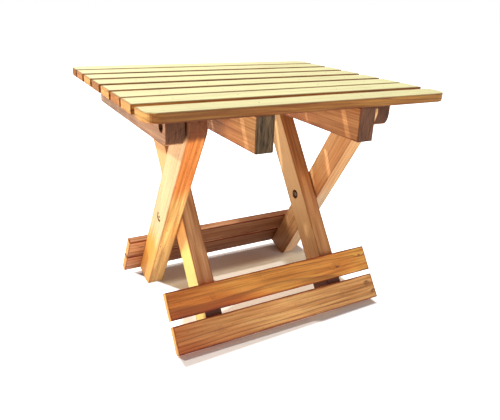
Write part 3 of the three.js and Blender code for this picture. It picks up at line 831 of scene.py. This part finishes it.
def pin_tree(material):
    """A flat pin head at each point of the mesh it is given."""
    tree = bpy.data.node_groups.new("Slat pins", "GeometryNodeTree")
    for name, way, kind in (
        ("Geometry", "INPUT", "Geometry"),
        ("Head radius", "INPUT", "Float"),
        ("Head height", "INPUT", "Float"),
        ("Seed", "INPUT", "Int"),
        ("Geometry", "OUTPUT", "Geometry"),
    ):
        tree.interface.new_socket(name, in_out=way, socket_type="NodeSocket" + kind)
    given = add_node(tree, "NodeGroupInput").outputs
    # The rim of a head is a little wider than its crown, and some heads are smaller than others
    crown = add_node(tree, "ShaderNodeMath", {0: given["Head radius"], 1: 0.8}, operation="MULTIPLY")
    head = add_node(tree, "GeometryNodeMeshCone", {
        "Vertices": 14, "Radius Top": crown.outputs[0], "Radius Bottom": given["Head radius"],
        "Depth": given["Head height"],
    })
    turn = add_node(
        tree, "FunctionNodeRandomValue", {0: (0, 0, 0), 1: (0, 0, 2 * math.pi), "Seed": given["Seed"]},
        data_type="FLOAT_VECTOR",
    )
    size = add_node(
        tree, "FunctionNodeRandomValue", {2: 0.88, 3: 1.0, "Seed": given["Seed"]}, data_type="FLOAT"
    )
    spread = add_node(tree, "GeometryNodeInstanceOnPoints", {
        "Points": given["Geometry"], "Instance": head.outputs["Mesh"], "Rotation": turn.outputs[0],
        "Scale": size.outputs[1],
    })
    real = add_node(tree, "GeometryNodeRealizeInstances", {"Geometry": spread.outputs[0]})
    painted = add_node(tree, "GeometryNodeSetMaterial", {"Geometry": real.outputs[0], "Material": material})
    add_node(tree, "NodeGroupOutput", {"Geometry": painted.outputs[0]})
    return tree


class STOOL_OT_pins(bpy.types.Operator):
    """Adds the small pin heads that hold each slat to each batten"""

    bl_idname = "stool.pins"
    bl_label = "Slat Pins"

    def execute(self, context):
        settings = context.scene.stool_pins
        # A head lies where the middle of a slat crosses the middle of a batten
        points = []
        for number in range(1, 9):
            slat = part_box(f"slat_{number}")
            y = (slat[0].y + slat[1].y) / 2
            for kind in ("outer", "inner"):
                for side in SIDES:
                    batten = f"{kind}_batten_{side}"
                    low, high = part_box(batten)
                    if low.y < y < high.y:
                        points.append((middle(batten).x, y, slat[1].z))
        mesh = bpy.data.meshes.new("slat_pins")
        mesh.from_pydata(points, [], [])
        places = bpy.data.objects.new("slat_pin_places", mesh)
        context.collection.objects.link(places)
        # Steel wire, its heads dulled and yellowed: small pale dots with hardly a shine
        pinned = plated_steel("darkened_steel_pins", tuple(context.scene.stool_steel.pin), roughness=0.5)
        tree = pin_tree(pinned)
        modifier = places.modifiers.new("Pins", "NODES")
        modifier.node_group = tree
        values = {
            "Head radius": settings.head_radius, "Head height": settings.head_height, "Seed": settings.seed,
        }
        for item in tree.interface.items_tree:
            if item.item_type == "SOCKET" and item.in_out == "INPUT" and item.name in values:
                modifier[item.identifier] = values[item.name]
        context.view_layer.update()
        graph = context.evaluated_depsgraph_get()
        shaped = bpy.data.meshes.new_from_object(places.evaluated_get(graph), depsgraph=graph)
        bpy.data.objects.remove(places)
        pins = bpy.data.objects.new("slat_pins", shaped)
        context.collection.objects.link(pins)
        if not len(shaped.polygons):
            raise RuntimeError("the slat pins came out empty")
        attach(pins, "seat")
        return {"FINISHED"}


# Stage


class STOOL_OT_stage(bpy.types.Operator):
    """Sets the floor, the lamps, the surroundings and the camera"""

    bl_idname = "stool.stage"
    bl_label = "Floor, Light and Camera"

    def execute(self, context):
        stage = context.scene.stool_stage
        self.lay_floor(context, stage)
        self.hang_lamps(context, stage)
        self.set_surroundings(context, stage)
        self.place_camera(context, stage)
        return {"FINISHED"}

    def lay_floor(self, context, stage):
        reach = 12.0
        mesh = bpy.data.meshes.new("floor")
        corners = [(-reach, -reach, 0), (reach, -reach, 0), (reach, reach, 0), (-reach, reach, 0)]
        mesh.from_pydata(corners, [], [(0, 1, 2, 3)])
        floor = bpy.data.objects.new("floor", mesh)
        context.collection.objects.link(floor)
        # Matt white board: no shine at all, so that it shows nothing but soft shadow
        material, tree = bare_material("matt_white_floor")
        add = partial(add_node, tree)
        matt = add("ShaderNodeBsdfDiffuse", {"Color": (*stage.floor, 1)})
        point = add("ShaderNodeTexCoord").outputs["Object"]
        x, y, _ = add("ShaderNodeSeparateXYZ", {0: point}).outputs

        # The floor keeps its shadow under the stool, and fades into the white surroundings beyond. In metres,
        # the shadow ends a little behind the rear boards, at two lines that slant in from the left feet and
        # meet below the crossing, at either side, and in front at a line a little askew to the lower board
        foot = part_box("front_board_lower")[0].y
        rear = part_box("rear_board_upper")[1].y + 0.012
        slant, notch = -0.6, -0.085
        left, right = -0.156, 0.152
        skew, front = 0.03, foot - 0.0082
        fade = 0.006
        notched = add("ShaderNodeMath", {0: y}, operation="ABSOLUTE")
        notched = add("ShaderNodeMath", {0: notched.outputs[0], 1: slant, 2: notch}, operation="MULTIPLY_ADD")
        askew = add("ShaderNodeMath", {0: x, 1: skew, 2: front}, operation="MULTIPLY_ADD")
        away = None
        for more, less in ((y, rear), (notched.outputs[0], x), (left, x), (x, right), (askew.outputs[0], y)):
            edge = add("ShaderNodeMath", {0: more, 1: less}, operation="SUBTRACT").outputs[0]
            if away:
                edge = add("ShaderNodeMath", {0: away, 1: edge}, operation="MAXIMUM").outputs[0]
            away = edge
        beyond = add(
            "ShaderNodeMapRange", {"Value": away, "From Max": fade}, interpolation_type="SMOOTHSTEP"
        ).outputs[0]

        # A warm strip behind the front boards is painted light: a glow that the camera and reflections see,
        # for sunlight coming in under the front of the seat
        strip_start, strip_full = foot + 0.005, foot + 0.03
        strip_fading, strip_end = 0.03, 0.055
        sunny = (1, 0.8, 0.45)
        strip = add(
            "ShaderNodeMapRange",
            {"Value": y, "From Min": strip_end, "From Max": strip_fading, "To Max": stage.floor_glow},
            interpolation_type="SMOOTHSTEP",
        )
        behind = add(
            "ShaderNodeMapRange", {"Value": y, "From Min": strip_start, "From Max": strip_full},
            interpolation_type="SMOOTHSTEP",
        )
        strip = add("ShaderNodeMath", {0: strip.outputs[0], 1: behind.outputs[0]}, operation="MULTIPLY")
        warm = add("ShaderNodeVectorMath", {0: sunny, "Scale": strip.outputs[0]}, operation="SCALE")
        colour = add("ShaderNodeMix", {0: beyond, 6: warm.outputs[0], 7: (1, 1, 1, 1)}, data_type="RGBA")
        shine = add("ShaderNodeEmission", {"Color": colour.outputs[2], "Strength": seen_straight(tree)})
        both = add("ShaderNodeAddShader", {0: matt.outputs[0], 1: shine.outputs[0]})
        # From below, the floor lets the underside of the stool be seen
        below = add("ShaderNodeNewGeometry").outputs["Backfacing"]
        clear = add("ShaderNodeBsdfTransparent")
        both = add("ShaderNodeMixShader", {0: below, 1: both.outputs[0], 2: clear.outputs[0]})
        add("ShaderNodeOutputMaterial", {"Surface": both.outputs[0]})
        mesh.materials.append(material)

    def hang_lamps(self, context, stage):
        # Each lamp's name, place and width in metres, power and colour
        lamps = (
            ("key_lamp", (-2.0, 0.8, 2.15), 0.08, stage.key, "#FFFBF4"),
            ("fill_lamp", (0.9, -2.2, 0.7), 1.6, stage.fill, "#FFFFFF"),
            ("rear_lamp", (-0.3, 2.5, 2.5), 0.5, stage.rear, "#FFFFFF"),
            ("bounce_lamp", (-0.5, -0.22, 0.006), 0.4, stage.bounce, "#FFD9AC"),
        )
        stool = Vector((0, 0, 0.15))
        for name, place, size, power, colour in lamps:
            light = bpy.data.lights.new(name, "AREA")
            light.shape = "DISK"
            light.size = size
            light.energy = power
            light.color = linear(colour)
            lamp = bpy.data.objects.new(name, light)
            lamp.location = place
            lamp.visible_camera = False
            # The bounce lamp lies on the floor and faces up; the others face the stool
            aim = Vector((0, 0, 1)) if name == "bounce_lamp" else stool - Vector(place)
            lamp.rotation_euler = aim.to_track_quat("-Z", "Y").to_euler()
            context.collection.objects.link(lamp)

    def set_surroundings(self, context, stage):
        world = bpy.data.worlds.new("white_room")
        context.scene.world = world
        world.use_nodes = True
        tree = world.node_tree
        tree.nodes.clear()
        room = add_node(tree, "ShaderNodeBackground", {"Color": (1, 1, 1, 1), "Strength": stage.sky})
        white = add_node(tree, "ShaderNodeBackground", {"Color": (1, 1, 1, 1), "Strength": 1.0})
        seen = seen_straight(tree)
        both = add_node(tree, "ShaderNodeMixShader", {0: seen, 1: room.outputs[0], 2: white.outputs[0]})
        add_node(tree, "ShaderNodeOutputWorld", {"Surface": both.outputs[0]})

    def place_camera(self, context, stage):
        heading, tilt, roll = stage.heading, stage.tilt, stage.roll
        forward = Vector((
            -math.sin(heading) * math.cos(tilt), math.cos(heading) * math.cos(tilt), math.sin(tilt),
        ))
        level = Vector((math.cos(heading), math.sin(heading), 0))
        down = forward.cross(level)
        right = level * math.cos(roll) + down * math.sin(roll)
        down = down * math.cos(roll) - level * math.sin(roll)
        data = bpy.data.cameras.new("camera")
        data.sensor_width = 36
        data.lens = stage.lens
        data.clip_start = 0.01
        camera = bpy.data.objects.new("camera", data)
        turn = Matrix((right, -down, -forward)).transposed()
        camera.matrix_world = Matrix.Translation(stage.camera_place) @ turn.to_4x4()
        context.collection.objects.link(camera)
        context.scene.camera = camera
        context.scene.view_settings.view_transform = "Standard"


class STOOL_PT_panel(bpy.types.Panel):
    """Lists the steps that finish the stool"""

    bl_idname = "STOOL_PT_panel"
    bl_label = "Folding Stool"
    bl_space_type = "VIEW_3D"
    bl_region_type = "UI"
    bl_category = "Stool"

    def draw(self, context):
        for operator in OPERATORS:
            self.layout.operator(operator.bl_idname)
        for group in SETTINGS:
            box = self.layout.box()
            settings = getattr(context.scene, group)
            for name in settings.bl_rna.properties.keys():
                if name not in {"rna_type", "name"}:
                    box.prop(settings, name)


SETTINGS = {
    "stool_wood": StoolWoodSettings,
    "stool_steel": StoolSteelSettings,
    "stool_pins": StoolPinSettings,
    "stool_stage": StoolStageSettings,
}
OPERATORS = (
    STOOL_OT_slats,
    STOOL_OT_battens,
    STOOL_OT_legs,
    STOOL_OT_boards,
    STOOL_OT_dowels,
    STOOL_OT_hardware,
    STOOL_OT_pins,
    STOOL_OT_stage,
)


def register():
    for settings in SETTINGS.values():
        bpy.utils.register_class(settings)
    for operator in OPERATORS:
        bpy.utils.register_class(operator)
    bpy.utils.register_class(STOOL_PT_panel)
    for name, settings in SETTINGS.items():
        setattr(bpy.types.Scene, name, PointerProperty(type=settings))


def unregister():
    for name in SETTINGS:
        delattr(bpy.types.Scene, name)
    bpy.utils.unregister_class(STOOL_PT_panel)
    for operator in reversed(OPERATORS):
        bpy.utils.unregister_class(operator)
    for settings in reversed(tuple(SETTINGS.values())):
        bpy.utils.unregister_class(settings)


def main():
    register()
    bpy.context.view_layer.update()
    bpy.ops.stool.slats()
    bpy.ops.stool.battens()
    bpy.ops.stool.legs()
    bpy.ops.stool.boards()
    bpy.ops.stool.dowels()
    bpy.ops.stool.hardware()
    bpy.ops.stool.pins()
    bpy.ops.stool.stage()


if __name__ == "__main__":
    main()
